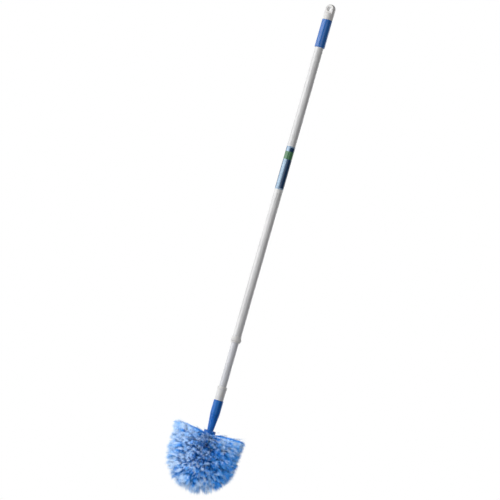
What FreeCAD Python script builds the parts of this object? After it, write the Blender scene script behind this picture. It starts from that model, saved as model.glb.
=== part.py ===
import FreeCAD, Part
import os

import Sketcher

# Telescopic cobweb brush. The origin is the centre of the hang hole, +Z runs up the pole and the
# hang hole's axis is along Y, so the whole brush hangs below the origin.

# Driving sizes, in millimetres, or in degrees where the name says angle.
SIZES = {
    "outer_tube_diameter": 22.0,
    "outer_tube_wall": 0.6,
    "outer_tube_length": 842.0,
    "inner_tube_diameter": 19.0,
    "inner_tube_wall": 0.6,
    "inner_tube_show": 114.6,
    # hang cap
    "cap_diameter": 26.0,
    "hole_to_seat": 28.5,
    "hang_hole_diameter": 10.0,
    "tongue_thickness": 14.0,
    "tongue_width": 22.0,
    "tongue_drop": 11.0,
    "tongue_rise": 2.0,
    "cap_plug_length": 24.0,
    "cap_plug_wall": 1.8,
    "cap_rib_height": 0.8,
    "cap_rib_width": 1.6,
    "cap_rib_lead": 3.0,
    "cap_rib_count": 6,
    # grip sleeve and label
    "grip_diameter": 26.5,
    "grip_length": 73.0,
    "label_drop": 335.0,
    "label_length": 112.0,
    "label_thickness": 0.2,
    "sleeve_fit": 0.05,
    # guide collar
    "collar_diameter": 27.0,
    "collar_height": 16.0,
    "collar_bead_height": 8.5,
    "collar_lip": 5.5,
    "collar_wall": 0.8,
    "guide_clearance": 0.55,
    # twist lock
    "lock_gap": 2.0,
    "lock_shank_length": 26.0,
    "lock_shank_wall": 2.5,
    "lock_flange_height": 3.0,
    "lock_disc_height": 3.0,
    "lock_disc_diameter": 18.0,
    "spindle_diameter": 10.0,
    "spindle_offset": 0.7,
    "spindle_clearance": 0.08,
    "cam_height": 12.0,
    "cam_play": 0.3,
    "cam_clearance": 0.15,
    "cam_slot_width": 7.0,
    # threaded ferrule
    "ferrule_diameter": 22.8,
    "ferrule_length": 35.4,
    "ferrule_tube_depth": 21.0,
    "ferrule_bead_diameter": 24.2,
    "ferrule_bead_height": 7.5,
    "spigot_diameter": 16.0,
    "spigot_length": 30.0,
    "spigot_bore": 10.0,
    # brush block
    "head_seat_gap": 0.2,
    "socket_diameter": 24.6,
    "socket_length": 34.0,
    "socket_bore": 18.6,
    "socket_bore_depth": 33.0,
    "taper_length": 42.0,
    "neck_diameter": 16.0,
    "neck_length": 2.0,
    "flange_diameter": 30.0,
    "flange_height": 7.0,
    "hub_shoulder": 3.0,
    "hub_diameter": 36.0,
    # tufts
    "head_diameter": 189.0,
    "first_row_drop": 5.5,
    "row_pitch": 11.5,
    "last_row_rise": 8.0,
    "top_row_angle": 89.0,
    "row_step_angle": 2.5,
    "row_tuft_count": 12,
    "dome_row_1_angle": 112.0,
    "dome_row_2_angle": 135.0,
    "dome_row_3_angle": 158.0,
    "dome_row_1_tuft_count": 12,
    "dome_row_2_tuft_count": 8,
    "dome_row_3_tuft_count": 4,
    "tuft_hole_width": 3.8,
    "tuft_hole_depth": 5.5,
    "tuft_root_width": 2.6,
    "tuft_flare_angle": 6.5,
    "anchor_width": 3.2,
    "anchor_height": 2.0,
    "anchor_thickness": 0.5,
}
BARREL_ROWS = 5
NEAR = 1e-4  # two places closer than this are the same

doc = FreeCAD.newDocument("cobweb_brush")
sheet = doc.addObject("Spreadsheet::Sheet", "Sizes")
for row, (alias, number) in enumerate(SIZES.items(), start=1):
    sheet.set(f"A{row}", alias)
    sheet.set(f"B{row}", str(number))
    sheet.setAlias(f"B{row}", alias)
doc.recompute()

# Radii and depths below the hang hole that several pieces share
OUTER_RADIUS = "(Sizes.outer_tube_diameter / 2)"
OUTER_BORE_RADIUS = f"({OUTER_RADIUS} - Sizes.outer_tube_wall)"
INNER_RADIUS = "(Sizes.inner_tube_diameter / 2)"
INNER_BORE_RADIUS = f"({INNER_RADIUS} - Sizes.inner_tube_wall)"
SPINDLE_LENGTH = "(Sizes.cam_height + 2 * Sizes.cam_play)"
LOCK_STACK = f"(Sizes.lock_disc_height + {SPINDLE_LENGTH} + Sizes.lock_flange_height)"
OUTER_TUBE_END = "(Sizes.hole_to_seat + Sizes.outer_tube_length)"
LOCK_TOP = "(Sizes.hole_to_seat + Sizes.cap_plug_length + Sizes.lock_gap)"
INNER_TUBE_TOP = f"({LOCK_TOP} + {LOCK_STACK})"
INNER_TUBE_END = (
    f"({OUTER_TUBE_END} + Sizes.collar_lip + Sizes.inner_tube_show"
    " + Sizes.ferrule_tube_depth)"
)
FERRULE_FOOT = f"({INNER_TUBE_END} - Sizes.ferrule_tube_depth + Sizes.ferrule_length)"
HUB_RADIUS = "(Sizes.hub_diameter / 2)"
HEAD_RADIUS = "(Sizes.head_diameter / 2)"
# Heights in the brush block, above the lowest point of its dome
BARREL_TOP = (
    f"({HUB_RADIUS} + Sizes.last_row_rise + {BARREL_ROWS - 1} * Sizes.row_pitch"
    " + Sizes.first_row_drop)"
)
FLANGE_FOOT = f"({BARREL_TOP} + Sizes.hub_shoulder)"
FLANGE_TOP = f"({FLANGE_FOOT} + Sizes.flange_height)"
NECK_TOP = f"({FLANGE_TOP} + Sizes.neck_length)"
TAPER_TOP = f"({NECK_TOP} + Sizes.taper_length)"
SOCKET_RIM = f"({TAPER_TOP} + Sizes.socket_length)"
BLOCK_DROP = f"({FERRULE_FOOT} + Sizes.head_seat_gap + {SOCKET_RIM})"


def value(expression):
    return float(sheet.evalExpression(expression))


def new_body(name):
    body = doc.addObject("PartDesign::Body", name)
    body.Label = name
    return body


def place(body, drop, turn=None):
    """Puts the body's origin this far below the hang hole, turned about the pole."""
    if turn:
        upright = FreeCAD.Rotation(FreeCAD.Vector(0, 0, 1), value(turn))
        body.Placement = FreeCAD.Placement(FreeCAD.Vector(), upright)
        body.setExpression("Placement.Rotation.Angle", turn)
    body.setExpression("Placement.Base.z", f"-({drop})")


def origin_feature(body, role):
    return next(feature for feature in body.Origin.OriginFeatures if feature.Role == role)


def sketch_on(body, name, role, lift=None):
    """A sketch on one of the body's own origin planes, lifted along the plane's normal."""
    sketch = body.newObject("Sketcher::SketchObject", name)
    sketch.AttachmentSupport = [(origin_feature(body, role), "")]
    sketch.MapMode = "FlatFace"
    if lift:
        sketch.setExpression("AttachmentOffset.Base.z", lift)
    return sketch


def bind(sketch, constraint, expression):
    number = sketch.addConstraint(constraint)
    sketch.setExpression(f"Constraints[{number}]", expression)


def pin(sketch, geometry, end, x, y):
    """Holds a point of the sketch at the expressions x and y."""
    for kind, axis, expression in (("DistanceX", -2, x), ("DistanceY", -1, y)):
        if expression == "0":
            sketch.addConstraint(Sketcher.Constraint("PointOnObject", geometry, end, axis))
        else:
            distance = Sketcher.Constraint(kind, -1, 1, geometry, end, value(expression))
            bind(sketch, distance, expression)


def circle(sketch, x, y, diameter):
    centre = FreeCAD.Vector(value(x), value(y), 0)
    shape = Part.Circle(centre, FreeCAD.Vector(0, 0, 1), value(diameter) / 2)
    geometry = sketch.addGeometry(shape)
    pin(sketch, geometry, 3, x, y)
    bind(sketch, Sketcher.Constraint("Diameter", geometry, value(diameter)), diameter)


def outline(sketch, corners, arcs=None):
    """A closed outline through corners given as expressions. arcs holds, for the stretch that
    follows a corner, the centre and the radius of the arc that takes the place of its line."""
    arcs = arcs or {}
    points = [FreeCAD.Vector(value(x), value(y), 0) for x, y in corners]
    stretches = []
    for i, here in enumerate(points):
        there = points[(i + 1) % len(points)]
        if i in arcs:
            centre_x, centre_y, radius = arcs[i]
            centre = FreeCAD.Vector(value(centre_x), value(centre_y), 0)
            outward = ((here + there) * 0.5 - centre).normalize()
            shape = Part.Arc(here, centre + outward * value(radius), there)
        else:
            shape = Part.LineSegment(here, there)
        geometry = sketch.addGeometry(shape)
        forward = (sketch.getPoint(geometry, 1) - here).Length < NEAR
        stretches.append((geometry, 1 if forward else 2, 2 if forward else 1))
    for i, (geometry, start, end) in enumerate(stretches):
        after, after_start, _ = stretches[(i + 1) % len(stretches)]
        sketch.addConstraint(Sketcher.Constraint("Coincident", geometry, end, after, after_start))
        pin(sketch, geometry, start, *corners[i])
        if i in arcs:
            radius = arcs[i][2]
            bind(sketch, Sketcher.Constraint("Radius", geometry, value(radius)), radius)


def hexagon(sketch, width):
    """A regular hexagon about the sketch's origin, of this width across corners on the y axis."""
    corners = []
    for angle in range(30, 390, 60):
        x = "0" if angle in (90, 270) else f"{width} / 2 * cos({angle} deg)"
        corners.append((x, f"{width} / 2 * sin({angle} deg)"))
    outline(sketch, corners)


def rectangle(sketch, left, right, low, high):
    outline(sketch, [(left, low), (right, low), (right, high), (left, high)])


def revolve(body, sketch):
    feature = body.newObject("PartDesign::Revolution", f"{sketch.Name}_turned")
    feature.Profile = sketch
    feature.ReferenceAxis = (sketch, ["V_Axis"])
    feature.Angle = 360
    return feature


def pad(body, sketch, length):
    feature = body.newObject("PartDesign::Pad", f"{sketch.Name}_pad")
    feature.Profile = sketch
    feature.setExpression("Length", length)
    return feature


def pocket(body, sketch, length=None):
    """Cuts to a depth against the sketch's normal, or right through both ways."""
    feature = body.newObject("PartDesign::Pocket", f"{sketch.Name}_cut")
    feature.Profile = sketch
    if length:
        feature.setExpression("Length", length)
    else:
        feature.SideType = "Symmetric"
        feature.Type = "ThroughAll"
    return feature


def repeat_round(body, features, count):
    """Repeats features about the body's Z axis and makes the pattern the body's result."""
    feature = body.newObject("PartDesign::PolarPattern", f"{features[0].Name}_round")
    feature.Originals = features
    feature.Axis = (origin_feature(body, "Z_Axis"), [""])
    feature.Angle = 360
    feature.setExpression("Occurrences", count)
    body.Tip = feature
    return feature


def make_tube(name, outer_radius, inner_radius, length, drop):
    body = new_body(name)
    section = sketch_on(body, f"{name}_section", "XY_Plane")
    circle(section, "0", "0", f"2 * {outer_radius}")
    circle(section, "0", "0", f"2 * {inner_radius}")
    pad(body, section, length)
    place(body, drop)
    return body


def make_hang_cap():
    """Round cap with an arched tongue above it and a ribbed hollow plug below its seat."""
    body = new_body("hang_cap")
    cap_radius = "(Sizes.cap_diameter / 2)"
    plug_radius = f"({OUTER_BORE_RADIUS} - Sizes.cap_rib_height)"
    plug_bore = f"({plug_radius} - Sizes.cap_plug_wall)"
    seat = "Sizes.cap_plug_length"
    eye = "(Sizes.cap_plug_length + Sizes.hole_to_seat)"
    shoulder = f"({eye} - Sizes.tongue_drop)"

    profile = sketch_on(body, "cap_profile", "XZ_Plane")
    corners = [
        (plug_bore, "0"),
        (plug_radius, "0"),
        (plug_radius, seat),
        (cap_radius, seat),
        (cap_radius, shoulder),
        ("0", shoulder),
        ("0", seat),
        (plug_bore, seat),
    ]
    outline(profile, corners)
    revolve(body, profile)

    rib = sketch_on(body, "cap_rib", "XY_Plane", "Sizes.cap_rib_lead")
    rib_root = f"({plug_radius} - Sizes.cap_plug_wall / 2)"
    rib_crest = f"({OUTER_BORE_RADIUS} - Sizes.sleeve_fit)"
    rectangle(rib, rib_root, rib_crest, "-Sizes.cap_rib_width / 2", "Sizes.cap_rib_width / 2")
    rib_pad = pad(body, rib, "Sizes.cap_plug_length - Sizes.cap_rib_lead")
    repeat_round(body, [rib_pad], "Sizes.cap_rib_count")

    tongue = sketch_on(body, "cap_tongue", "XZ_Plane")
    side = "(Sizes.tongue_width / 2)"
    spring = f"({eye} + Sizes.tongue_rise)"
    arch = ("0", spring, side)
    corners = [
        (f"-{side}", shoulder),
        (side, shoulder),
        (side, spring),
        ("0", f"({spring} + {side})"),
        (f"-{side}", spring),
    ]
    outline(tongue, corners, arcs={2: arch, 3: arch})
    pad(body, tongue, "Sizes.tongue_thickness").SideType = "Symmetric"

    eye_sketch = sketch_on(body, "hang_hole", "XZ_Plane")
    circle(eye_sketch, "0", eye, "Sizes.hang_hole_diameter")
    pocket(body, eye_sketch)
    place(body, eye)
    return body


def make_grip_sleeve():
    bore = f"({OUTER_RADIUS} + Sizes.sleeve_fit)"
    drop = "Sizes.hole_to_seat + Sizes.grip_length"
    outside = "(Sizes.grip_diameter / 2)"
    return make_tube("grip_sleeve", outside, bore, "Sizes.grip_length", drop)


def make_label_sleeve():
    bore = f"({OUTER_RADIUS} + Sizes.sleeve_fit)"
    drop = "Sizes.hole_to_seat + Sizes.label_drop + Sizes.label_length"
    outside = f"({bore} + Sizes.label_thickness)"
    return make_tube("label_sleeve", outside, bore, "Sizes.label_length", drop)


def make_outer_tube():
    length = "Sizes.outer_tube_length"
    return make_tube("outer_tube", OUTER_RADIUS, OUTER_BORE_RADIUS, length, OUTER_TUBE_END)


def make_inner_tube():
    length = f"{INNER_TUBE_END} - {INNER_TUBE_TOP}"
    return make_tube("inner_tube", INNER_RADIUS, INNER_BORE_RADIUS, length, INNER_TUBE_END)


def make_guide_collar():
    """Collar over the outer tube's end, with a lip below it that guides the inner tube."""
    body = new_body("guide_collar")
    guide = f"({INNER_RADIUS} + Sizes.guide_clearance)"
    seat = f"({OUTER_RADIUS} + Sizes.sleeve_fit)"
    neck = f"({seat} + Sizes.collar_wall)"
    bead = "(Sizes.collar_diameter / 2)"
    profile = sketch_on(body, "collar_profile", "XZ_Plane")
    corners = [
        (guide, "0"),
        (bead, "0"),
        (bead, "Sizes.collar_bead_height"),
        (neck, "Sizes.collar_height"),
        (seat, "Sizes.collar_height"),
        (seat, "Sizes.collar_lip"),
        (guide, "Sizes.collar_lip"),
    ]
    outline(profile, corners)
    revolve(body, profile)
    place(body, f"{OUTER_TUBE_END} + Sizes.collar_lip")
    return body


def make_lock_plug():
    """Plug in the inner tube's top end, with an eccentric spindle between a flange and a disc."""
    body = new_body("lock_plug")
    shank = f"({INNER_BORE_RADIUS} - Sizes.sleeve_fit)"
    shank_bore = f"({shank} - Sizes.lock_shank_wall)"
    seat = "Sizes.lock_shank_length"
    flange_top = "(Sizes.lock_shank_length + Sizes.lock_flange_height)"
    spindle_top = f"({flange_top} + {SPINDLE_LENGTH})"
    profile = sketch_on(body, "plug_profile", "XZ_Plane")
    corners = [
        (shank_bore, "0"),
        (shank, "0"),
        (shank, seat),
        (INNER_RADIUS, seat),
        (INNER_RADIUS, flange_top),
        ("0", flange_top),
        ("0", seat),
        (shank_bore, seat),
    ]
    outline(profile, corners)
    revolve(body, profile)
    spindle = sketch_on(body, "spindle_section", "XY_Plane", flange_top)
    circle(spindle, "Sizes.spindle_offset", "0", "Sizes.spindle_diameter")
    pad(body, spindle, SPINDLE_LENGTH)
    disc = sketch_on(body, "disc_section", "XY_Plane", spindle_top)
    circle(disc, "0", "0", "Sizes.lock_disc_diameter")
    pad(body, disc, "Sizes.lock_disc_height")
    place(body, f"{INNER_TUBE_TOP} + Sizes.lock_shank_length")
    return body


def make_lock_cam():
    """Split ring on the eccentric spindle, which jams in the outer tube when the pole is turned."""
    body = new_body("lock_cam")
    cam_radius = f"({OUTER_BORE_RADIUS} - Sizes.cam_clearance)"
    half_slot = "Sizes.cam_slot_width / 2"
    section = sketch_on(body, "cam_section", "XY_Plane")
    circle(section, "0", "0", f"2 * {cam_radius}")
    bore = "(Sizes.spindle_diameter + 2 * Sizes.spindle_clearance)"
    circle(section, "Sizes.spindle_offset", "0", bore)
    pad(body, section, "Sizes.cam_height")
    slot = sketch_on(body, "cam_slot", "XY_Plane")
    rectangle(slot, "Sizes.spindle_offset", f"2 * {cam_radius}", f"-{half_slot}", half_slot)
    pocket(body, slot)
    place(body, f"{LOCK_TOP} + Sizes.lock_disc_height + Sizes.cam_play + Sizes.cam_height")
    return body


def make_thread_ferrule():
    """Sleeve on the inner tube's lower end, with a bead round its mouth and a spigot below."""
    body = new_body("thread_ferrule")
    core = "(Sizes.spigot_bore / 2)"
    spigot = "(Sizes.spigot_diameter / 2)"
    sleeve = "(Sizes.ferrule_diameter / 2)"
    bead = "(Sizes.ferrule_bead_diameter / 2)"
    tube_seat = f"({INNER_RADIUS} + Sizes.sleeve_fit)"
    foot = "Sizes.spigot_length"
    mouth = "(Sizes.spigot_length + Sizes.ferrule_length)"
    bead_foot = f"({mouth} - Sizes.ferrule_bead_height)"
    stop = f"({mouth} - Sizes.ferrule_tube_depth)"
    profile = sketch_on(body, "ferrule_profile", "XZ_Plane")
    corners = [
        (core, "0"),
        (spigot, "0"),
        (spigot, foot),
        (sleeve, foot),
        (sleeve, bead_foot),
        (bead, bead_foot),
        (bead, mouth),
        (tube_seat, mouth),
        (tube_seat, stop),
        (core, stop),
    ]
    outline(profile, corners)
    revolve(body, profile)
    place(body, f"{FERRULE_FOOT} + Sizes.spigot_length")
    return body


def tuft_rows():
    """The rows of tufts from the flange down. A row's tufts spread from one point on the block's
    axis, at a height above the dome's lowest point and at an angle from the handle."""
    rows = []
    for i in range(BARREL_ROWS):
        angle = f"(Sizes.top_row_angle + {i} * Sizes.row_step_angle)"
        slope = f"sin({angle} * 1 deg)"
        rows.append({
            "name": f"tuft_row_{i + 1}",
            "height": f"({BARREL_TOP} - Sizes.first_row_drop - {i} * Sizes.row_pitch)",
            "angle": angle,
            "count": "Sizes.row_tuft_count",
            "turn": "180 / Sizes.row_tuft_count" if i % 2 else None,
            "mouth": f"({HUB_RADIUS} / {slope})",
            "reach": f"({HEAD_RADIUS} / {slope})",
        })
    for i in (1, 2, 3):
        count = f"Sizes.dome_row_{i}_tuft_count"
        rows.append({
            "name": f"tuft_dome_{i}",
            "height": HUB_RADIUS,
            "angle": f"Sizes.dome_row_{i}_angle",
            "count": count,
            "turn": f"180 / {count}" if i % 2 else None,
            "mouth": HUB_RADIUS,
            "reach": HEAD_RADIUS,
        })
    rows.append({
        "name": "tuft_tip",
        "height": HUB_RADIUS,
        "angle": "180",
        "count": None,
        "turn": None,
        "mouth": HUB_RADIUS,
        "reach": HEAD_RADIUS,
    })
    return rows


def sketch_across(body, name, row, distance, support=None, height="0"):
    """A sketch square to a row's first tuft, this far out from the block's axis."""
    sketch = body.newObject("Sketcher::SketchObject", name)
    sketch.AttachmentSupport = [(support or origin_feature(body, "XY_Plane"), "")]
    sketch.MapMode = "FlatFace"
    leaning = FreeCAD.Rotation(FreeCAD.Vector(0, 1, 0), value(row["angle"]))
    sketch.AttachmentOffset = FreeCAD.Placement(FreeCAD.Vector(), leaning)
    angle = f"({row['angle']} * 1 deg)"
    sketch.setExpression("AttachmentOffset.Rotation.Angle", row["angle"])
    sketch.setExpression("AttachmentOffset.Base.x", f"{distance} * sin({angle})")
    sketch.setExpression("AttachmentOffset.Base.z", f"{height} + {distance} * cos({angle})")
    return sketch


def drill_tuft_holes(body, row):
    """One row of holes in the block, drilled in from just outside its surface."""
    turned = body.newObject("PartDesign::Plane", f"{row['name']}_plane")
    turned.AttachmentSupport = [(origin_feature(body, "XY_Plane"), "")]
    turned.MapMode = "FlatFace"
    if row["turn"]:
        upright = FreeCAD.Rotation(FreeCAD.Vector(0, 0, 1), value(row["turn"]))
        turned.AttachmentOffset = FreeCAD.Placement(FreeCAD.Vector(), upright)
        turned.setExpression("AttachmentOffset.Rotation.Angle", row["turn"])
    clear = "Sizes.tuft_hole_width"
    start = f"({row['mouth']} + {clear})"
    section = sketch_across(body, f"{row['name']}_hole", row, start, turned, row["height"])
    half = "Sizes.tuft_hole_width / 2"
    rectangle(section, f"-{half}", half, f"-{half}", half)
    hole = pocket(body, section, f"{clear} + Sizes.tuft_hole_depth")
    if row["count"]:
        repeat_round(body, [hole], row["count"])


def dome_corners():
    """Corners of the hub's dome from its tip up. Each row of tufts has its own land, square to it,
    and neighbouring lands meet halfway between their rows' angles."""
    angles = ["180"] + [f"Sizes.dome_row_{i}_angle" for i in (3, 2, 1)] + ["90"]
    corners = []
    for low, high in zip(angles, angles[1:]):
        middle = f"(({low} + {high}) / 2 * 1 deg)"
        distance = f"{HUB_RADIUS} / cos(({low} - {high}) / 2 * 1 deg)"
        corners.append((f"{distance} * sin{middle}", f"{HUB_RADIUS} + {distance} * cos{middle}"))
    return corners


def make_brush_block(rows):
    """Moulded block: a tapered socket for the pole, a flange and a domed hub drilled for tufts."""
    body = new_body("brush_block")
    socket = "(Sizes.socket_diameter / 2)"
    bore = "(Sizes.socket_bore / 2)"
    bore_floor = f"({SOCKET_RIM} - Sizes.socket_bore_depth)"
    neck = "(Sizes.neck_diameter / 2)"
    flange = "(Sizes.flange_diameter / 2)"
    profile = sketch_on(body, "block_profile", "XZ_Plane")
    corners = [("0", "0"), *dome_corners()]
    corners += [
        (HUB_RADIUS, BARREL_TOP),
        (flange, FLANGE_FOOT),
        (flange, FLANGE_TOP),
        (neck, FLANGE_TOP),
        (neck, NECK_TOP),
        (socket, TAPER_TOP),
        (socket, SOCKET_RIM),
        (bore, SOCKET_RIM),
        (bore, bore_floor),
        ("0", bore_floor),
    ]
    outline(profile, corners)
    revolve(body, profile)
    for row in rows:
        drill_tuft_holes(body, row)
    place(body, BLOCK_DROP)
    return body


def make_tuft_row(row):
    """A row of bundles of filament, each a slim hexagon that flares from its anchor to its tip."""
    body = new_body(row["name"])
    hole_floor = f"({row['mouth']} - Sizes.tuft_hole_depth)"
    root = f"({hole_floor} + Sizes.anchor_height)"
    section = sketch_across(body, f"{row['name']}_root", row, root)
    hexagon(section, "Sizes.tuft_root_width")
    bundle = pad(body, section, f"{row['reach']} - {root}")
    doc.recompute()
    outward = section.Placement.Rotation.multVec(FreeCAD.Vector(0, 0, 1))
    sides = []
    for number, face in enumerate(bundle.Shape.Faces, start=1):
        facing = face.normalAt(0, 0).dot(outward)
        if abs(facing) < 0.5:
            sides.append(f"Face{number}")
        elif facing < 0:
            inner_end = f"Face{number}"
            points_out = face.Surface.Axis.dot(outward) > 0
    flare = body.newObject("PartDesign::Draft", f"{row['name']}_flare")
    flare.Base = (bundle, sides)
    flare.NeutralPlane = (bundle, [inner_end])
    flare.Reversed = points_out
    flare.setExpression("Angle", "Sizes.tuft_flare_angle")
    if row["count"]:
        repeat_round(body, [bundle, flare], row["count"])
    place(body, f"{BLOCK_DROP} - {row['height']}", row["turn"])
    return body


def make_anchor_row(row):
    """A row of flat anchors at the bottom of the holes, over which the filaments fold."""
    body = new_body(f"{row['name']}_anchors")
    floor = f"({row['mouth']} - Sizes.tuft_hole_depth)"
    section = sketch_across(body, f"{row['name']}_anchor", row, floor)
    half_width, half_thickness = "Sizes.anchor_width / 2", "Sizes.anchor_thickness / 2"
    rectangle(section, f"-{half_thickness}", half_thickness, f"-{half_width}", half_width)
    plate = pad(body, section, "Sizes.anchor_height")
    if row["count"]:
        repeat_round(body, [plate], row["count"])
    place(body, f"{BLOCK_DROP} - {row['height']}", row["turn"])
    return body


def make_tuft_anchors(rows):
    anchors = doc.addObject("Part::Compound", "tuft_anchors")
    anchors.Label = "tuft_anchors"
    anchors.Links = [make_anchor_row(row) for row in rows]
    return anchors


def faults():
    """What failed to recompute, and cuts that took nothing away."""
    found = []
    for thing in doc.Objects:
        if "Invalid" in thing.State or "Error" in thing.State:
            found.append(f"{thing.Name} is {thing.State}")
        elif thing.TypeId == "PartDesign::Pocket":
            if thing.Shape.Volume > thing.BaseFeature.Shape.Volume - NEAR:
                found.append(f"{thing.Name} cuts nothing")
    return found


rows = tuft_rows()
pieces = [
    make_hang_cap(),
    make_grip_sleeve(),
    make_outer_tube(),
    make_label_sleeve(),
    make_guide_collar(),
    make_lock_plug(),
    make_lock_cam(),
    make_inner_tube(),
    make_thread_ferrule(),
    make_brush_block(rows),
    make_tuft_anchors(rows),
]
pieces += [make_tuft_row(row) for row in rows]
doc.recompute()

problems = faults()
for piece in pieces:
    if piece.Shape.isNull() or not piece.Shape.isValid():
        problems.append(f"{piece.Label} has no valid shape")
if problems:
    raise RuntimeError("; ".join(problems))

os.makedirs("parts", exist_ok=True)
for piece in pieces:
    piece.Shape.exportStep(f"parts/{piece.Label}.step")
    print(f"{piece.Label}: {len(piece.Shape.Solids)} solids, {piece.Shape.Volume:.1f} mm3")
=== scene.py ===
import math

import bmesh
import bpy
import numpy as np
from mathutils import Matrix, Vector


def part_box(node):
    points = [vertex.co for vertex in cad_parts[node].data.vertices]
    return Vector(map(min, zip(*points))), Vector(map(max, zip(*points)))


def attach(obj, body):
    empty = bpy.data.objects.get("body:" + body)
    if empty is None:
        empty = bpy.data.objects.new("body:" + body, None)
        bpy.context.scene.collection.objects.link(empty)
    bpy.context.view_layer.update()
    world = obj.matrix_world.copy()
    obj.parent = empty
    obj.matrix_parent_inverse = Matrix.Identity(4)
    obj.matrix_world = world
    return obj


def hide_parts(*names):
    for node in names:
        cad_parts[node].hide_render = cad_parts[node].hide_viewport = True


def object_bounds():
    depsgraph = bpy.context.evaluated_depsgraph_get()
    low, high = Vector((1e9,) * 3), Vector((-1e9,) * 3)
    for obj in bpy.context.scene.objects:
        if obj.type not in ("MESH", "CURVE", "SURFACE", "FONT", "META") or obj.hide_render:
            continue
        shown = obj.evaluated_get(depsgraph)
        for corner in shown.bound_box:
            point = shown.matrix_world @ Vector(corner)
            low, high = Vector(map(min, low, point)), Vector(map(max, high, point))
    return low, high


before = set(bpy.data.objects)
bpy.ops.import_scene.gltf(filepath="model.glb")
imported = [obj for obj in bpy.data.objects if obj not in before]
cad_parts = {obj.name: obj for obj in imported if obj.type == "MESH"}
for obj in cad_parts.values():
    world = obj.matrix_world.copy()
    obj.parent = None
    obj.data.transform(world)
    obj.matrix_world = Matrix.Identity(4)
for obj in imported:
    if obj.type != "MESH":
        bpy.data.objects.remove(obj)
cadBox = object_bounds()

mm = 0.001
tiny = 1e-6
weldGap = 1e-7  # metres
mapName = "OFBake"  # the name of the colour map
wholeMap = (0.0, 1.0)
latheSides = 96
noiseLow, noiseHigh = 0.3, 0.7  # where most of a noise lies
goldenTurn, fullTurn = 2.39996, 6.28  # radians; golden turns spread points evenly over a disc


def ink(red, green, blue):  # a colour as a screen shows it, 0 to 255, made linear
    linear = []
    for part in (red, green, blue):
        share = part / 255
        linear.append(share / 12.92 if share < 0.04045 else ((share + 0.055) / 1.055) ** 2.4)
    return (*linear, 1.0)


class Wire:  # a socket that takes part in sums
    def __init__(self, tree, socket):
        self.tree = tree
        self.socket = socket

    def step(self, operation, first, second):
        node = self.tree.nodes.new("ShaderNodeMath")
        node.operation = operation
        for slot, term in zip(node.inputs, (first, second)):
            if isinstance(term, Wire):
                self.tree.links.new(term.socket, slot)
            else:
                slot.default_value = term
        return Wire(self.tree, node.outputs[0])

    def __add__(self, other):
        return self.step("ADD", self, other)

    def __sub__(self, other):
        return self.step("SUBTRACT", self, other)

    def __rsub__(self, other):
        return self.step("SUBTRACT", other, self)

    def __mul__(self, other):
        return self.step("MULTIPLY", self, other)

    def __truediv__(self, other):
        return self.step("DIVIDE", self, other)

    def __pow__(self, other):
        return self.step("POWER", self, other)

    def __gt__(self, other):
        return self.step("GREATER_THAN", self, other)

    def __lt__(self, other):
        return self.step("LESS_THAN", self, other)

    __radd__ = __add__
    __rmul__ = __mul__

    def under(self, other):
        return self.step("MINIMUM", self, other)


class Finish:  # one material and the nodes behind it
    def __init__(self, name, **fixed):
        self.material = bpy.data.materials.new(name)
        self.material.use_nodes = True
        self.tree = self.material.node_tree
        self.shader = next(n for n in self.tree.nodes if n.type == "BSDF_PRINCIPLED")
        for socket, value in fixed.items():
            self.shader.inputs[socket.replace("_", " ")].default_value = value

    def node(self, kind, settings=None, sockets=None, out=0):
        made = self.tree.nodes.new(kind)
        for key, value in (settings or {}).items():
            if key == "stops":
                ramp = made.color_ramp.elements
                while len(ramp) < len(value):
                    ramp.new(1.0)
                for stop, (place, colour) in zip(ramp, value):
                    stop.position = place
                    stop.color = colour
            else:
                setattr(made, key, value)
        for key, value in (sockets or {}).items():
            self.feed(made.inputs[key], value)
        return Wire(self.tree, made.outputs[out])

    def feed(self, socket, value):
        if isinstance(value, Wire):
            self.tree.links.new(value.socket, socket)
        else:
            socket.default_value = value

    def wear(self, **sockets):  # what changes over the surface
        for key, value in sockets.items():
            self.feed(self.shader.inputs[key.replace("_", " ")], value)
        return self.material

    def point(self):
        return self.node("ShaderNodeTexCoord", out="Object")

    def axes(self):
        first = self.node("ShaderNodeSeparateXYZ", None, {0: self.point()})
        return [Wire(self.tree, socket) for socket in first.socket.node.outputs]

    def stretched(self, x, y, z):
        return self.node("ShaderNodeVectorMath", {"operation": "MULTIPLY"},
                         {0: self.point(), 1: (x, y, z)})

    def noise(self, scale, detail=3.0, roughness=0.5, at=None):
        return self.node("ShaderNodeTexNoise", None,
                         {"Vector": at or self.point(), "Scale": scale, "Detail": detail,
                          "Roughness": roughness})

    def spread(self, value, low, high, first, last):  # maps low..high to first..last
        return self.node("ShaderNodeMapRange", {"interpolation_type": "SMOOTHSTEP"},
                         {"Value": value, "From Min": low, "From Max": high,
                          "To Min": first, "To Max": last})

    def between(self, noise, first=0, last=1):  # a noise drawn out to first..last
        return self.spread(noise, noiseLow, noiseHigh, first, last)

    def blend(self, share, first, second):
        kind = {"data_type": "RGBA"}
        return self.node("ShaderNodeMix", kind, {0: share, 6: first, 7: second}, out=2)

    def ramp(self, value, stops):
        return self.node("ShaderNodeValToRGB", {"stops": stops}, {0: value})

    def bump(self, height, strength, distance):
        return self.node("ShaderNodeBump", None,
                         {"Height": height, "Strength": strength, "Distance": distance})


def addPiece(name, mesh, material, body, node, sharpAngle=35):
    mesh.materials.clear()
    mesh.materials.append(material)
    mesh.shade_smooth()
    mesh.set_sharp_from_angle(angle=math.radians(sharpAngle))
    piece = bpy.data.objects.new(name, mesh)
    bpy.context.scene.collection.objects.link(piece)
    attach(piece, body)
    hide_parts(node)
    return piece


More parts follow.
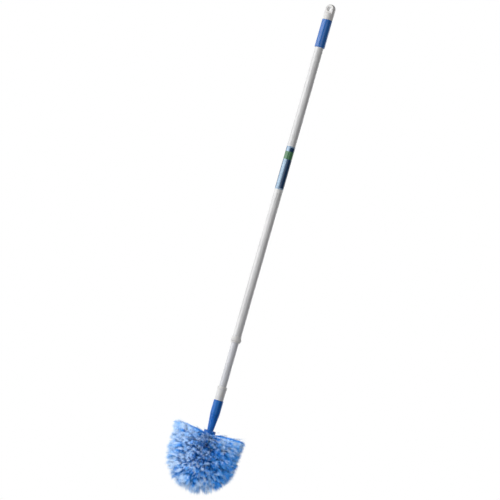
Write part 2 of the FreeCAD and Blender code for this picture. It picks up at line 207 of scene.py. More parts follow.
def softened(corners, steps=5):  # corners as (radius, height, rounding), all in mm
    outline = []
    for i, (radius, height, rounding) in enumerate(corners):
        here = Vector((radius, height))
        if not rounding:
            outline.append(here)
            continue
        before = (Vector(corners[i - 1][:2]) - here).normalized()
        after = (Vector(corners[(i + 1) % len(corners)][:2]) - here).normalized()
        half = before.angle(after) / 2
        centre = here + (before + after).normalized() * (rounding / math.sin(half))
        start = here + before * (rounding / math.tan(half))
        end = here + after * (rounding / math.tan(half))
        for k in range(steps + 1):
            along = start.lerp(end, k / steps) - centre
            outline.append(centre + along.normalized() * rounding)
    return outline


def cleanMesh(name, bm):
    bmesh.ops.remove_doubles(bm, verts=bm.verts, dist=weldGap)
    bmesh.ops.recalc_face_normals(bm, faces=bm.faces)
    mesh = bpy.data.meshes.new(name)
    bm.to_mesh(mesh)
    bm.free()
    return mesh


def mapFace(face, layer, spots):  # where a face's corners lie on the colour map
    for loop, spot in zip(face.loops, spots):
        loop[layer].uv = spot


def turnOutline(bm, outline, band):  # a closed outline in mm, spun round the pole
    layer = bm.loops.layers.uv.new(mapName)
    rings = []
    for k in range(latheSides):
        angle = 2 * math.pi * k / latheSides
        across, away = math.cos(angle) * mm, math.sin(angle) * mm
        rings.append([bm.verts.new((p.x * across, p.x * away, p.y * mm)) for p in outline])
    count = len(outline)
    marks = [0.0]
    for i in range(count):
        marks.append(marks[-1] + (outline[(i + 1) % count] - outline[i]).length)
    marks = [band[0] + (band[1] - band[0]) * mark / marks[-1] for mark in marks]
    for k in range(latheSides):
        here, there = rings[k], rings[(k + 1) % latheSides]
        left, right = k / latheSides, (k + 1) / latheSides
        for i in range(count):
            j = (i + 1) % count
            if max(outline[i].x, outline[j].x) > tiny:
                mapFace(bm.faces.new((here[i], here[j], there[j], there[i])), layer, (
                    (left, marks[i]), (left, marks[i + 1]), (right, marks[i + 1]), (right, marks[i])))


def lathe(name, corners, steps=5, band=wholeMap):
    bm = bmesh.new()
    turnOutline(bm, softened(corners, steps), band)
    return cleanMesh(name, bm)


def heights(node):  # lowest and highest z of a CAD node, in mm
    low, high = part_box(node)
    return low.z / mm, high.z / mm


def coatedSteel(name, dark, light):
    finish = Finish(name, IOR=1.5, Coat_Roughness=0.08)
    streaks = finish.noise(260, 2, at=finish.stretched(1, 1, 0.03))
    patches = finish.noise(30, 3)
    peel = finish.noise(1500, 2)
    shade = finish.spread(streaks * 0.6 + patches * 0.4, 0.35, 0.65, 0, 1)
    colour = finish.blend(shade, dark, light)
    return finish.wear(Base_Color=colour, Roughness=finish.between(patches, 0.26, 0.36),
                       Coat_Weight=finish.between(streaks, 0.35, 0.6),
                       Normal=finish.bump(peel, 0.08, 0.0004))


def palePlastic():
    finish = Finish("palePlastic", IOR=1.48, Subsurface_Weight=0.05,
                    Subsurface_Radius=(0.004, 0.003, 0.002))
    flow = finish.noise(70, 4, at=finish.stretched(1, 1, 0.35))
    grain = finish.noise(2600, 2)
    dust = finish.noise(420, 5, 0.7)
    colour = finish.blend(finish.between(flow), ink(226, 225, 224), ink(240, 239, 238))
    colour = finish.blend(finish.spread(dust, 0.62, 0.8, 0, 0.2), colour, ink(186, 184, 181))
    return finish.wear(Base_Color=colour, Roughness=finish.between(flow, 0.38, 0.5),
                       Normal=finish.bump(grain, 0.12, 0.0002))


def gripBlue():
    finish = Finish("gripBlue", IOR=1.5, Coat_Roughness=0.22)
    flow = finish.noise(45, 4, at=finish.stretched(1, 1, 0.25))
    rub = finish.noise(380, 5, 0.65, at=finish.stretched(1, 1, 0.3))
    colour = finish.blend(finish.between(flow), ink(14, 104, 190), ink(24, 114, 204))
    colour = finish.blend(finish.spread(rub, 0.62, 0.8, 0, 0.16), colour, ink(84, 140, 208))
    return finish.wear(Base_Color=colour, Roughness=finish.spread(rub, 0.35, 0.75, 0.34, 0.48),
                       Coat_Weight=finish.spread(rub, 0.4, 0.8, 0.8, 0.4),
                       Normal=finish.bump(flow, 0.06, 0.0006))


def blockBlue():
    finish = Finish("blockBlue", IOR=1.48, Specular_IOR_Level=0.45)
    flow = finish.noise(60, 4, at=finish.stretched(1, 1, 0.4))
    grain = finish.noise(1900, 3)
    colour = finish.blend(finish.between(flow), ink(0, 102, 189), ink(8, 116, 205))
    return finish.wear(Base_Color=colour, Roughness=finish.between(flow, 0.3, 0.42),
                       Normal=finish.bump(grain, 0.12, 0.0002))


# painted shade and light in the bristles: the side and fade entries paint shade, deeper blue away from the
# key lamp and less of it at the top; the rim entries paint light, paler towards the outline seen from the
# camera and towards the bottom
bristleShade = {"paintedShadeSide": (0.69, 0.4, 0.5), "fadeOver": (-0.03, 0.045), "fade": (0.02, -0.14),
                "viewRight": (0.866, 0.5), "rimOver": (0.045, 0.092), "rim": (0.02, 0.035),
                "topOver": (0.02, 0.06), "topFade": (1, 0.4), "patchy": 0.2, "speckled": 0.08,
                "stops": [(0.5, ink(0, 102, 196)), (0.76, ink(8, 122, 210)),
                          (0.9, ink(90, 163, 228)), (1.0, ink(176, 200, 228))]}


def bristleBlue(shade, centreHeight):  # deep blue roots and pale flagged ends, with painted shade that makes the bristles less pale on the side away from the key lamp, and a painted rim light that makes them paler towards the outline seen from the camera and the bottom
    finish = Finish("bristleBlue", IOR=1.45, Specular_IOR_Level=0.3)
    tone = finish.node("ShaderNodeAttribute", {"attribute_name": "tone"}, out="Fac")
    patches = finish.noise(70, 3)
    fine = finish.noise(500, 2)
    x, y, z = finish.axes()
    up = z - centreHeight
    # painted shade: deeper blue towards the camera's right and upward, away from the key lamp, slightly
    # paler on the side facing it, and less of it well above the dome's centre
    shadeX, shadeY, shadeUp = shade["paintedShadeSide"]
    fade = finish.spread(x * shadeX + y * shadeY + up * shadeUp, *shade["fadeOver"], *shade["fade"])
    fade = fade * finish.spread(up, *shade["topOver"], *shade["topFade"])
    # painted rim light: paler towards the head's outline as the camera sees it and below the dome's centre
    rightX, rightY = shade["viewRight"]
    side, drop = x * rightX + y * rightY, up.under(0.0)
    rim = finish.spread((side * side + drop * drop) ** 0.5, *shade["rimOver"], *shade["rim"])
    tone = tone + fade + rim + (patches - 0.5) * shade["patchy"] + (fine - 0.5) * shade["speckled"]
    return finish.wear(Base_Color=finish.ramp(tone, shade["stops"]),
                       Roughness=finish.between(fine, 0.4, 0.55))


def labelFilm(shape, low, high):  # plain wrap: navy, a pale band along it that is a painted reflection of the key lamp, and a green band round it
    finish = Finish("labelFilm", IOR=1.5, Coat_Roughness=0.05)
    x, y, z = finish.axes()
    along = (z - low) / (high - low)
    reflectionX, reflectionY = shape["paintedReflection"]
    side = (x * reflectionX + y * reflectionY) / (x * x + y * y) ** 0.5  # 1 in the middle of the painted reflection
    grain = finish.noise(90, 3, at=finish.stretched(1, 1, 0.3))
    colour = finish.blend(finish.between(grain), ink(0, 54, 96), ink(2, 64, 110))
    # painted reflection of the key lamp: a pale band down the side between the camera and the lamp
    colour = finish.blend(finish.spread(side, *shape["paintedReflectionOver"], 0, 1), colour, ink(170, 200, 226))
    bandLow, bandHigh = shape["band"]
    colour = finish.blend((along > bandLow) * (along < bandHigh), colour, ink(70, 128, 84))
    rules = (along > 1 - shape["rule"]) + (along < shape["rule"])
    colour = finish.blend(rules, colour, ink(150, 178, 206))
    scuff = finish.noise(500, 5, 0.7)
    return finish.wear(Base_Color=colour, Roughness=finish.spread(scuff, 0.3, 0.8, 0.2, 0.4),
                       Coat_Weight=finish.spread(scuff, 0.4, 0.8, 0.5, 0.2),
                       Normal=finish.bump(grain, 0.05, 0.0004))


def lockPlastic(name, dark, light):
    finish = Finish(name, IOR=1.5)
    flow = finish.noise(110, 4)
    colour = finish.blend(finish.between(flow), dark, light)
    return finish.wear(Base_Color=colour, Roughness=finish.between(flow, 0.45, 0.6),
                       Normal=finish.bump(finish.noise(2200, 2), 0.1, 0.0002))


def anchorWire():
    finish = Finish("anchorWire", Metallic=1.0)
    drawn = finish.noise(900, 3, at=finish.stretched(1, 1, 0.1))
    colour = finish.blend(drawn, ink(150, 150, 152), ink(198, 198, 200))
    return finish.wear(Base_Color=colour, Roughness=finish.between(drawn, 0.25, 0.45))


palePlasticFinish = palePlastic()
blockBlueFinish = blockBlue()
print("finishes ready")


capShape = {"radius": 13.0, "edge": 1.6, "shoulder": -11.0, "flat": 7.0, "flatReach": 11.7, "swell": 12.95,
            "hole": 5.0, "holeEdge": 3.2, "sunk": -16.0, "plugRadius": 9.5, "plugBore": 7.8,
            "flatInset": 1.6, "holeGap": 1.1, "tongueShare": 0.6, "mapGap": 0.02}


def capTongue(shape, around=96, roundSteps=6, swellSteps=5):  # a ring of sections round the hang hole
    flat, edge, hole = shape["flat"], shape["edge"], shape["holeEdge"]
    bm = bmesh.new()
    layer = bm.loops.layers.uv.new(mapName)
    sections = []
    for k in range(around):
        angle = 2 * math.pi * k / around
        across, up = math.cos(angle), math.sin(angle)
        reach, swell = shape["flatReach"], shape["swell"]
        if up < 0:
            reach, swell = (min(far / max(abs(across), tiny), shape["sunk"] / up) for far in (reach, swell))
        half = [(shape["hole"], 0.0), (shape["hole"], flat - hole)]
        for i in range(1, roundSteps + 1):
            turn = math.pi / 2 * i / roundSteps
            half.append((shape["hole"] + hole * (1 - math.cos(turn)), flat - hole * (1 - math.sin(turn))))
        half.append((max(reach - edge * shape["flatInset"], shape["hole"] + hole * shape["holeGap"]), flat))
        for i in range(roundSteps + 1):
            turn = math.pi / 2 * i / roundSteps
            half.append((reach - edge * (1 - math.sin(turn)), flat - edge * (1 - math.cos(turn))))
        for i in range(1, swellSteps + 1):
            depth = (flat - edge) * (1 - i / swellSteps)
            bulge = 1 - (depth / (flat - edge)) ** 2
            half.append((reach + (swell - reach) * bulge, depth))
        loop = [(r, -d) for r, d in half] + [(r, d) for r, d in reversed(half[1:-1])]
        sections.append([bm.verts.new((r * across * mm, d * mm, r * up * mm)) for r, d in loop])
    count = len(sections[0])
    for k in range(around):
        here, there = sections[k], sections[(k + 1) % around]
        left, right = k / around, (k + 1) / around
        for i in range(count):
            j = (i + 1) % count
            foot, head = (shape["tongueShare"] * step / count for step in (i, i + 1))
            mapFace(bm.faces.new((here[i], here[j], there[j], there[i])), layer, (
                (left, foot), (left, head), (right, head), (right, foot)))
    return cleanMesh("capTongue", bm)


def joined(first, second):  # one closed mesh from two that run into each other
    holders = [bpy.data.objects.new("join", mesh) for mesh in (first, second)]
    for holder in holders:
        bpy.context.scene.collection.objects.link(holder)
    union = holders[0].modifiers.new("union", "BOOLEAN")
    union.operation = "UNION"
    union.solver = "EXACT"
    union.object = holders[1]
    graph = bpy.context.evaluated_depsgraph_get()
    result = bpy.data.meshes.new_from_object(holders[0].evaluated_get(graph))
    for holder in holders:
        bpy.data.objects.remove(holder)
    return result


capLow = heights("hang_cap")[0]
gripLow, gripTop = heights("grip_sleeve")
capBase = lathe("capBase", [
    (capShape["plugBore"], capLow, 0.4),
    (capShape["plugRadius"], capLow, 0.6),
    (capShape["plugRadius"], gripTop, 0),
    (capShape["radius"], gripTop, 0.5),
    (capShape["radius"], capShape["shoulder"], 1.4),
    (0.0, capShape["shoulder"], 0),
    (0.0, gripTop, 0),
    (capShape["plugBore"], gripTop, 0),
], band=(capShape["tongueShare"] + capShape["mapGap"], 1.0))
addPiece("hangCap", joined(capBase, capTongue(capShape)), palePlasticFinish, "outer_pole", "hang_cap")

gripShape = {"radius": 13.25, "bore": 11.05, "lowEdge": 1.5, "topEdge": 0.9, "hem": 0.5}
addPiece("gripSleeve", lathe("gripSleeve", [
    (gripShape["bore"], gripLow, gripShape["hem"]),
    (gripShape["radius"], gripLow, gripShape["lowEdge"]),
    (gripShape["radius"], gripTop, gripShape["topEdge"]),
    (gripShape["bore"], gripTop, gripShape["hem"]),
]), gripBlue(), "outer_pole", "grip_sleeve")


tubeShape = {"outer": 11.0, "inner": 9.5, "wall": 0.6, "edge": 0.25, "boreEdge": 0.2}


def tube(name, node, radius, shape, body, finish):
    low, high = heights(node)
    bore = radius - shape["wall"]
    mesh = lathe(name, [
        (bore, low, shape["boreEdge"]),
        (radius, low, shape["edge"]),
        (radius, high, shape["edge"]),
        (bore, high, shape["boreEdge"]),
    ], steps=3)
    addPiece(name, mesh, finish, body, node)


tube("outerTube", "outer_tube", tubeShape["outer"], tubeShape, "outer_pole",
     coatedSteel("outerSteel", ink(221, 221, 222), ink(233, 233, 233)))
tube("innerTube", "inner_tube", tubeShape["inner"], tubeShape, "inner_pole",
     coatedSteel("innerSteel", ink(217, 218, 223), ink(229, 230, 234)))

# the pale band is a painted reflection of the key lamp, set on the side of the label between the camera and
# the lamp
labelShape = {"radius": 11.25, "bore": 11.05, "edge": 0.08, "paintedReflection": (-0.105, -0.995),
              "paintedReflectionOver": (0.8, 0.98), "band": (0.7, 0.88), "rule": 0.03}
labelLow, labelTop = heights("label_sleeve")
addPiece("labelSleeve", lathe("labelSleeve", [
    (labelShape["bore"], labelLow, 0),
    (labelShape["radius"], labelLow, labelShape["edge"]),
    (labelShape["radius"], labelTop, labelShape["edge"]),
    (labelShape["bore"], labelTop, 0),
], steps=2), labelFilm(labelShape, labelLow * mm, labelTop * mm), "outer_pole", "label_sleeve")

collarShape = {"bead": 13.6, "neck": 11.9, "seat": 11.05, "guide": 10.05, "lip": 5.5, "beadHeight": 9.0,
               "rim": 12.6, "rimHeight": 1.3, "notch": 11.0, "notchHeight": 1.6, "beadFoot": 4.4,
               "neckHeight": 11.5}
collarLow, collarTop = heights("guide_collar")
addPiece("guideCollar", lathe("guideCollar", [
    (collarShape["guide"], collarLow, 0.5),
    (collarShape["rim"], collarLow, 0.6),
    (collarShape["rim"], collarLow + collarShape["rimHeight"], 0.5),
    (collarShape["notch"], collarLow + collarShape["notchHeight"], 0.2),
    (collarShape["bead"], collarLow + collarShape["beadFoot"], 0.6),
    (collarShape["bead"], collarLow + collarShape["beadHeight"], 1.2),
    (collarShape["neck"], collarLow + collarShape["neckHeight"], 1.5),
    (collarShape["neck"], collarTop, 0.3),
    (collarShape["seat"], collarTop, 0.2),
    (collarShape["seat"], collarLow + collarShape["lip"], 0),
    (collarShape["guide"], collarLow + collarShape["lip"], 0),
]), palePlasticFinish, "outer_pole", "guide_collar")
print("pole dressed")


ferruleShape = {"core": 5.0, "spigot": 8.0, "crest": 9.0, "sleeve": 11.4, "bead": 12.1, "seat": 9.55,
                "spigotLength": 30.0, "beadHeight": 7.5, "beadFoot": 0.4, "tubeDepth": 21.0, "pitch": 4.0,
                "threadLow": 3.0, "threadHigh": 4.2, "ridgeHalf": 1.2, "crestHalf": 0.42, "ridgeSunk": 0.25,
                "ridgeFade": 1.6, "sleeveShare": 0.8}
ferruleLow, ferruleTop = heights("thread_ferrule")


def threadRidge(bm, shape, low, high, perTurn=40):  # a right-hand ridge that fades at both ends
    turns = (high - low) / shape["pitch"]
    count = int(turns * perTurn)
    half, crestHalf = shape["ridgeHalf"], shape["crestHalf"]
    root = shape["spigot"] - shape["ridgeSunk"]
    layer = bm.loops.layers.uv.get(mapName)
    loops = []
    for k in range(count + 1):
        share = k / count
        angle = 2 * math.pi * turns * share
        fade = min(1.0, share * turns * shape["ridgeFade"], (1 - share) * turns * shape["ridgeFade"])
        crest = root + (shape["crest"] - root) * fade
        middle = low + (high - low) * share
        section = [(root, -half), (crest, -crestHalf), (crest, crestHalf), (root, half)]
        across, away = math.cos(angle) * mm, math.sin(angle) * mm
        loops.append([bm.verts.new((r * across, r * away, (middle + d) * mm)) for r, d in section])
    for k, (here, there) in enumerate(zip(loops, loops[1:])):
        left, right = k / count, (k + 1) / count
        sides = len(here)
        for i in range(sides):
            j = (i + 1) % sides
            foot, head = (1 - (1 - shape["sleeveShare"]) * side / (sides + 1) for side in (i, i + 1))
            mapFace(bm.faces.new((here[i], here[j], there[j], there[i])), layer, (
                (left, foot), (left, head), (right, head), (right, foot)))
    bm.faces.new(loops[0])
    bm.faces.new(reversed(loops[-1]))


def ferrule(shape):
    foot = ferruleLow + shape["spigotLength"]
    stop = ferruleTop - shape["tubeDepth"]
    beadLow = ferruleTop - shape["beadHeight"]
    bm = bmesh.new()
    turnOutline(bm, softened([
        (shape["core"], ferruleLow, 0.5),
        (shape["spigot"], ferruleLow, 1.2),
        (shape["spigot"], foot, 0),
        (shape["sleeve"], foot, 0.4),
        (shape["sleeve"], beadLow - shape["beadFoot"], 0.3),
        (shape["bead"], beadLow, 0.5),
        (shape["bead"], ferruleTop, 1.3),
        (shape["seat"], ferruleTop, 0.3),
        (shape["seat"], stop, 0),
        (shape["core"], stop, 0),
    ]), (0.0, shape["sleeveShare"]))
    threadRidge(bm, shape, ferruleLow + shape["threadLow"], foot - shape["threadHigh"])
    return cleanMesh("threadFerrule", bm)


addPiece("threadFerrule", ferrule(ferruleShape), palePlasticFinish, "inner_pole", "thread_ferrule")
print("ferrule threaded")


blockShape = {"socket": 12.3, "socketLength": 34.0, "bore": 9.3, "boreDepth": 33.0, "taper": 42.0,
              "neck": 8.0, "neckLength": 2.0, "flange": 15.0, "flangeHeight": 7.0, "shoulder": 3.0,
              "hub": 18.0, "grooves": 3, "grooveDrop": 4.0, "groovePitch": 7.6, "grooveWidth": 1.5,
              "grooveDepth": 0.6, "grooveEdge": 0.12}
blockLow, blockTop = heights("brush_block")
domeHeight = blockLow + blockShape["hub"]


def brushBlock(shape):
    taperTop = blockTop - shape["socketLength"]
    neckTop = taperTop - shape["taper"]
    flangeTop = neckTop - shape["neckLength"]
    flangeLow = flangeTop - shape["flangeHeight"]
    slope = (shape["socket"] - shape["neck"]) / shape["taper"]
    corners = [(0.0, blockLow, 0)]
    for angle in range(75, -1, -15):  # the dome, in degrees
        corners.append((shape["hub"] * math.cos(math.radians(angle)),
                        domeHeight - shape["hub"] * math.sin(math.radians(angle)), 0))
    corners += [(shape["hub"], flangeLow - shape["shoulder"], 0.8), (shape["flange"], flangeLow, 0.5),
                (shape["flange"], flangeTop, 1.2), (shape["neck"], flangeTop, 1.6),
                (shape["neck"], neckTop, 6.0)]
    for k in reversed(range(shape["grooves"])):
        drop = shape["grooveDrop"] + k * shape["groovePitch"]
        for side, depth in ((1, 0), (0.5, 1), (-0.5, 1), (-1, 0)):
            low = drop + side * shape["grooveWidth"] / 2
            radius = shape["socket"] - slope * low - depth * shape["grooveDepth"]
            corners.append((radius, taperTop - low, shape["grooveEdge"]))
    corners += [(shape["socket"], taperTop, 18.0), (shape["socket"], blockTop, 0.9),
                (shape["bore"], blockTop, 0.5), (shape["bore"], blockTop - shape["boreDepth"], 0),
                (0.0, blockTop - shape["boreDepth"], 0)]
    return lathe("brushBlock", corners)


addPiece("brushBlock", brushBlock(blockShape), blockBlueFinish, "brush_head", "brush_block")
print("brush block turned")


headShape = {"reach": 94.5, "rootReach": 13.0, "rootSpread": 1.8, "thick": 0.42, "thin": 0.3,
             "bends": (0.0, 0.3, 0.55), "flagFrom": 0.77, "flags": 3, "flagSpread": 2.0,
             "flagThick": 0.28, "flagThin": 0.1, "wander": 1.2, "full": 0.5, "tint": 0.09, "ownTint": 0.06,
             "clumpStray": 0.2, "grip": (0.55, 1.0), "hold": (0.6, 1.0), "fanVary": (0.85, 1.1),
             "tipStray": 0.8, "wildStray": 6.0, "pointMost": 1.5, "trimPasses": 8,
             "viewTurn": 30.0, "droop": 3.0, "lift": 5.0, "combed": 0.5, "firstSeed": 40}
barrelRows = {"count": 5, "tufts": 12, "firstDrop": 5.5, "pitch": 11.5,
              "firstAngle": 89.0, "angleStep": 2.5}
barrelFans = {"filaments": 240, "clumps": 13, "clumpPull": 0.9, "sideFan": 24.0, "riseFan": 13.0,
              "ragged": 0.28, "trim": 0.06, "point": 0.05, "early": 0.1, "stray": 0.03, "tones": (0.0, 1.0)}
# painted light: the two top rows' tones start higher, so they are paler from the root on than the rows
# below
topFans = {**barrelFans, "clumps": 16, "clumpPull": 0.6, "ragged": 0.08, "trim": 0.03, "point": 0.02,
           "early": 0.5, "stray": 0.08, "tones": (0.62, 0.98)}
nextFans = {**barrelFans, "clumps": 14, "clumpPull": 0.8, "ragged": 0.2, "tones": (0.4, 1.02)}
domeFans = {**barrelFans, "filaments": 330, "clumps": 24, "clumpPull": 0.88, "riseFan": 20.0,
            "ragged": 0.25}
domeRows = [(112.0, 12, 0.5), (135.0, 8, 0.0), (158.0, 4, 0.5)]  # angle, tufts, share of a pitch turned


def tuftList():  # node, height on the axis in mm, angle from the handle, number, turn
    barrelTop = blockTop - sum(blockShape[k] for k in (
        "socketLength", "taper", "neckLength", "flangeHeight", "shoulder"))
    rows = []
    for i in range(barrelRows["count"]):
        height = barrelTop - barrelRows["firstDrop"] - i * barrelRows["pitch"]
        angle = barrelRows["firstAngle"] + i * barrelRows["angleStep"]
        rows.append((f"tuft_row_{i + 1}", height, angle, barrelRows["tufts"], 0.5 * (i % 2)))
    for i, (angle, tufts, turn) in enumerate(domeRows):
        rows.append((f"tuft_dome_{i + 1}", domeHeight, angle, tufts, turn))
    rows.append(("tuft_tip", domeHeight, 180.0, 1, 0.0))
    return rows


def depthOf(points):  # distance from the head's axis, or from the dome's centre below it
    below = np.minimum(points[..., 2] - domeHeight, 0.0)
    return np.sqrt(points[..., 0] ** 2 + points[..., 1] ** 2 + below ** 2)


rodShape = {"sides": 3, "endStrip": 0.05, "sideGap": 0.2, "endGap": 0.1}  # strips and gaps are on the map


def strands(centres, radii, tones, steps, numbers, across, away):  # closed rods along rows of centre points
    count, rings = centres.shape[:2]
    sides = rodShape["sides"]
    turn = 2 * np.pi / sides * np.arange(sides)
    offset = (np.cos(turn)[None, None, :, None] * across[:, None, None, :]
              + np.sin(turn)[None, None, :, None] * away[:, None, None, :])
    points = centres[:, :, None, :] + offset * radii[None, :, None, None]
    quads = []
    for r in range(rings - 1):
        here, there = r * sides, (r + 1) * sides
        for k in range(sides):
            n = (k + 1) % sides
            quads.append((here + k, here + n, there + n, there + k))
    last = (rings - 1) * sides
    ends = [(2, 1, 0), (last, last + 1, last + 2)]
    base = np.arange(count)[:, None, None] * rings * sides
    along = np.repeat(steps[:, None], sides, axis=1)
    along[0, 1] -= rodShape["endStrip"]  # the end faces keep some width on the map
    along[-1, 1] += rodShape["endStrip"]
    places = np.stack(np.broadcast_arrays(
        numbers[:, None, None], np.linspace(0.0, 1.0, sides)[None, None], along[None]), axis=-1)
    return (points.reshape(-1, 3), (np.array(quads)[None] + base).reshape(-1, 4),
            (np.array(ends)[None] + base).reshape(-1, 3), np.repeat(tones.ravel(), sides),
            places.reshape(-1, 3))


def tuft(rng, height, angle, azimuth, shape, fans, first):
    lean, turn, view = (math.radians(degrees) for degrees in (angle, azimuth, shape["viewTurn"]))
    out = np.array([math.sin(lean) * math.cos(turn), math.sin(lean) * math.sin(turn), math.cos(lean)])
    side = np.array([-math.sin(turn), math.cos(turn), 0.0])
    rise = np.cross(out, side)
    origin = np.array([0.0, 0.0, height])
    n, bunches = fans["filaments"], fans["clumps"]
    ring = np.sqrt((np.arange(n) + 0.5) / n)
    twist = np.arange(n) * goldenTurn + rng.uniform(0, fullTurn)
    fan = np.stack([ring * np.cos(twist), ring * np.sin(twist)], axis=1)
    hub = np.sqrt((np.arange(bunches) + 0.5) / bunches)[:, None]
    spin = np.arange(bunches) * goldenTurn + rng.uniform(0, fullTurn)
    clumps = hub * np.stack([np.cos(spin), np.sin(spin)], axis=1)
    clumps = clumps + rng.normal(0, shape["clumpStray"], (bunches, 2))
    nearest = np.argmin(np.linalg.norm(fan[:, None] - clumps[None], axis=2), axis=1)
    grip = rng.uniform(*shape["grip"], bunches)[nearest, None]  # some clumps hold together, some fray
    pull = fans["clumpPull"] * grip * rng.uniform(*shape["hold"], (n, 1))
    ends = fan * (1 - pull) + clumps[nearest] * pull
    rooted = fan[:, :1] * side + fan[:, 1:] * rise
    roots = origin + out * shape["rootReach"] + rooted * shape["rootSpread"]
    sideFan = fans["sideFan"] * rng.uniform(*shape["fanVary"])
    riseFan = fans["riseFan"] * rng.uniform(*shape["fanVary"])
    tips = origin + out * shape["reach"] + ends[:, :1] * side * sideFan + ends[:, 1:] * rise * riseFan
    tips += rng.normal(0, shape["tipStray"], (n, 3))
    tips += rng.normal(0, shape["wildStray"], (n, 3)) * (rng.uniform(0, 1, (n, 1)) < fans["stray"])
    if fans is topFans:
        tips[:, 2] -= shape["droop"] * math.sin(turn - view) ** 2 + shape["lift"] * math.cos(turn - view)
    combed = 1 - shape["combed"] * math.cos(turn - view) ** 2
    cut = rng.uniform(0, 1, bunches)  # most clumps reach the trimmed face, some stop well short of it
    cut = np.where(cut < shape["full"], cut * fans["trim"], fans["ragged"] * combed * cut)[nearest]
    edge = np.linalg.norm(fan - clumps[nearest], axis=1) * math.sqrt(bunches)  # clumps come to a point
    shorter = cut + fans["trim"] * rng.uniform(0, 1, n) ** 2
    shorter = shorter + fans["point"] * np.minimum(edge, shape["pointMost"]) ** 2
    tint = (rng.normal(0, shape["tint"], bunches)[nearest] + rng.normal(0, shape["ownTint"], n))[:, None]
    way = tips - roots
    length = np.linalg.norm(way, axis=1, keepdims=True)
    way = way / length
    for _ in range(shape["trimPasses"]):
        length = length + (shape["reach"] * (1 - shorter) - depthOf(roots + way * length))[:, None]
    tips = roots + way * length
    bow = (roots + tips) / 2 + (ends[:, :1] * side * sideFan + ends[:, 1:] * rise * riseFan) * fans["early"]
    bow += rng.normal(0, shape["wander"], (n, 3))
    steps = np.array([*shape["bends"], shape["flagFrom"]])
    t = steps[None, :, None]
    centres = roots[:, None] * (1 - t) ** 2 + bow[:, None] * 2 * t * (1 - t) + tips[:, None] * t ** 2
    radii = np.interp(steps, [0, 1], [shape["thick"], shape["thin"]])
    tones = np.interp(steps, [0, 1], fans["tones"]) + tint
    across, away = np.repeat(side[None], n, 0), np.repeat(rise[None], n, 0)
    numbers = first + np.arange(n)
    parts = [strands(centres, radii, tones, steps, numbers, across, away)]
    steps = np.array([shape["flagFrom"], 1.0])
    radii = np.array([shape["flagThick"], shape["flagThin"]])
    tones = np.interp(steps, [0, 1], fans["tones"]) + tint
    for _ in range(shape["flags"]):  # each end is split into flags
        flags = np.stack([centres[:, -1], tips + rng.normal(0, shape["flagSpread"], (n, 3))], axis=1)
        parts.append(strands(flags, radii, tones, steps, numbers, across, away))
    return parts


def strandMap(mesh, places):  # a cell of the colour map for each filament, its root at the foot
    number, across, along = places.T
    columns = math.ceil(2 * math.sqrt(number.max() + 1))
    rows = math.ceil((number.max() + 1) / columns)
    sideGap, endGap = rodShape["sideGap"], rodShape["endGap"]
    spots = np.stack([(number % columns + sideGap + (1 - 2 * sideGap) * across) / columns,
                      (number // columns + endGap + (1 - 2 * endGap) * along) / rows], axis=1)
    corners = np.empty(len(mesh.loops), np.int32)
    mesh.loops.foreach_get("vertex_index", corners)
    layer = mesh.uv_layers.new(name=mapName)
    layer.uv.foreach_set("vector", spots[corners].astype(np.float32).ravel())


def rowMesh(name, parts):
    points, quads, triangles, tones, places, start = [], [], [], [], [], 0
    for verts, four, three, tone, place in parts:
        points.append(verts)
        quads.append(four + start)
        triangles.append(three + start)
        tones.append(tone)
        places.append(place)
        start += len(verts)
    points, quads, triangles, tones, places = (
        np.concatenate(part) for part in (points, quads, triangles, tones, places))
    mesh = bpy.data.meshes.new(name)
    mesh.vertices.add(len(points))
    mesh.vertices.foreach_set("co", (points * mm).astype(np.float32).ravel())
    corners = np.concatenate([quads.ravel(), triangles.ravel()])
    mesh.loops.add(len(corners))
    mesh.loops.foreach_set("vertex_index", corners.astype(np.int32))
    starts = np.concatenate([np.arange(len(quads)) * 4, len(quads) * 4 + np.arange(len(triangles)) * 3])
    mesh.polygons.add(len(starts))
    mesh.polygons.foreach_set("loop_start", starts.astype(np.int32))
    mesh.update(calc_edges=True)
    mesh.validate()
    mesh.attributes.new("tone", "FLOAT", "POINT").data.foreach_set("value", tones.astype(np.float32))
    strandMap(mesh, places)
    return mesh


bristleFinish = bristleBlue(bristleShade, domeHeight * mm)
bristles = bpy.data.collections.new("bristles")
for i, (node, height, angle, tufts, turn) in enumerate(tuftList()):
    rng = np.random.default_rng(headShape["firstSeed"] + i)
    usual = barrelFans if "row" in node else domeFans
    fans = {"tuft_row_1": topFans, "tuft_row_2": nextFans}.get(node, usual)
    parts = []
    for k in range(tufts):
        azimuth = 360 / tufts * (k + turn)
        parts += tuft(rng, height, angle, azimuth, headShape, fans, k * fans["filaments"])
    mesh = rowMesh(node, parts)
    bristles.objects.link(addPiece("bristles_" + node, mesh, bristleFinish, "brush_head", node,
                                   sharpAngle=180))
print("bristles set")


kept = {"lock_plug": lockPlastic("plugPlastic", ink(196, 195, 190), ink(216, 215, 210)),
        "lock_cam": lockPlastic("camPlastic", ink(34, 34, 36), ink(56, 56, 60)),
        "tuft_anchors": anchorWire()}
for node, material in kept.items():
    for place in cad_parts[node].material_slots:
        place.material = material


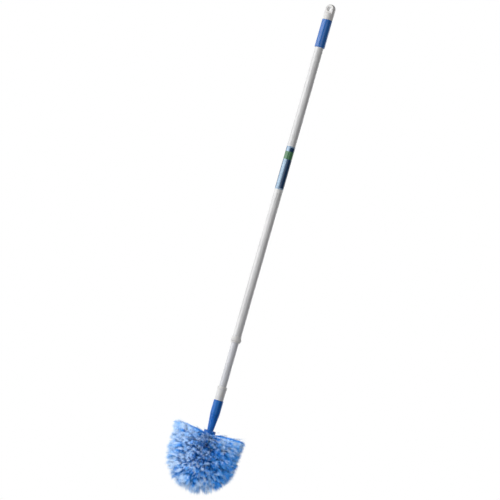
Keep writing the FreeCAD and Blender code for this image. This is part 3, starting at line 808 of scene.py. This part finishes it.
stageSet = {"size": 4.0, "gap": 1.0,  # the gap leaves room for the pole at full reach
            "glow": 0.5, "fade": (0.6, 1.9), "skySeen": 0.9, "skyLight": 0.1}
low = cadBox[0].z - stageSet["gap"]
bpy.ops.mesh.primitive_plane_add(size=stageSet["size"], location=(0, 0, low))
floor = bpy.context.object
floor.name = "floor"
floorFinish = Finish("floorPaper", Roughness=0.9, Emission_Strength=stageSet["glow"])
looked = floorFinish.node("ShaderNodeLightPath", out="Is Camera Ray")  # the glow lights nothing else
across, away, _ = floorFinish.axes()
edge = (across * across + away * away) ** 0.5
paper = floorFinish.blend(floorFinish.noise(3, 2), ink(247, 247, 247), ink(252, 252, 252))
floorFinish.wear(Alpha=floorFinish.spread(edge, *stageSet["fade"], 1, 0), Base_Color=paper,
                 Emission_Color=floorFinish.blend(looked, (0, 0, 0, 1), (1, 1, 1, 1)))
floor.data.materials.append(floorFinish.material)

cameraSet = {"azimuth": 30.0, "lens": 143.6, "distance": 5.0, "height": -0.95, "aimHeight": -0.6423,
             "aimSide": -0.0284, "roll": 15.96, "sensor": 36, "farthest": 100}


def placeCamera(shape):
    turn = math.radians(shape["azimuth"])
    right = Vector((math.cos(turn), math.sin(turn), 0))
    back = Vector((math.sin(turn), -math.cos(turn), 0))
    aim = right * shape["aimSide"] + Vector((0, 0, shape["aimHeight"]))
    place = right * shape["aimSide"] + back * shape["distance"] + Vector((0, 0, shape["height"]))
    toward = (aim - place).normalized()
    level = toward.cross(Vector((0, 0, 1))).normalized()
    up = level.cross(toward)
    roll = math.radians(shape["roll"])
    imageRight = level * math.cos(roll) + up * math.sin(roll)
    imageUp = up * math.cos(roll) - level * math.sin(roll)
    data = bpy.data.cameras.new("camera")
    data.lens = shape["lens"]
    data.sensor_width = shape["sensor"]
    data.clip_end = shape["farthest"]
    camera = bpy.data.objects.new("camera", data)
    bpy.context.scene.collection.objects.link(camera)
    spin = Matrix((imageRight, imageUp, -toward)).transposed()
    camera.matrix_world = Matrix.Translation(place) @ spin.to_4x4()
    bpy.context.scene.camera = camera
    return right, back


viewRight, viewBack = placeCamera(cameraSet)

lamps = [  # name, right, towards the camera, height, width, tall, power, aim height
    ("key", -1.95, 0.75, -0.24, 2.2, 2.8, 52, -0.64),
    ("wall", -1.6, -1.3, -0.44, 1.2, 2.8, 12, -0.64),
    ("fill", 0.4, 2.8, -0.44, 1.8, 2.6, 15, -0.64),
    ("rim", 1.9, -0.9, -0.44, 0.4, 2.6, 7, -0.64),
    ("head", -0.3, 2.1, -1.6, 0.9, 0.9, 52, -1.2),
    ("top", -0.1, 1.1, 0.3, 1.2, 1.2, 42, -1.15),
    ("back", 1.2, -2.4, -0.5, 1.8, 2.6, 30, -0.64),
]
for name, right, toward, height, width, tall, power, aimHeight in lamps:
    data = bpy.data.lights.new(name, "AREA")
    data.shape = "RECTANGLE"
    data.size, data.size_y, data.energy = width, tall, power
    lamp = bpy.data.objects.new(name, data)
    bpy.context.scene.collection.objects.link(lamp)
    lamp.location = viewRight * right + viewBack * toward + Vector((0, 0, height))
    lamp.visible_camera = False
    if name in ("head", "top"):  # these light the bristles alone
        lamp.light_linking.receiver_collection = bristles
    lamp.rotation_euler = (Vector((0, 0, aimHeight)) - lamp.location).to_track_quat("-Z", "Y").to_euler()

world = bpy.data.worlds.new("studio")
world.use_nodes = True
sky = world.node_tree
background = next(n for n in sky.nodes if n.type == "BACKGROUND")
background.inputs["Color"].default_value = (1, 1, 1, 1)
seen = Wire(sky, sky.nodes.new("ShaderNodeLightPath").outputs["Is Camera Ray"])
strength = seen * stageSet["skySeen"] + stageSet["skyLight"]
sky.links.new(strength.socket, background.inputs["Strength"])
bpy.context.scene.world = world
bpy.context.scene.view_settings.view_transform = "Standard"
print("stage lit")
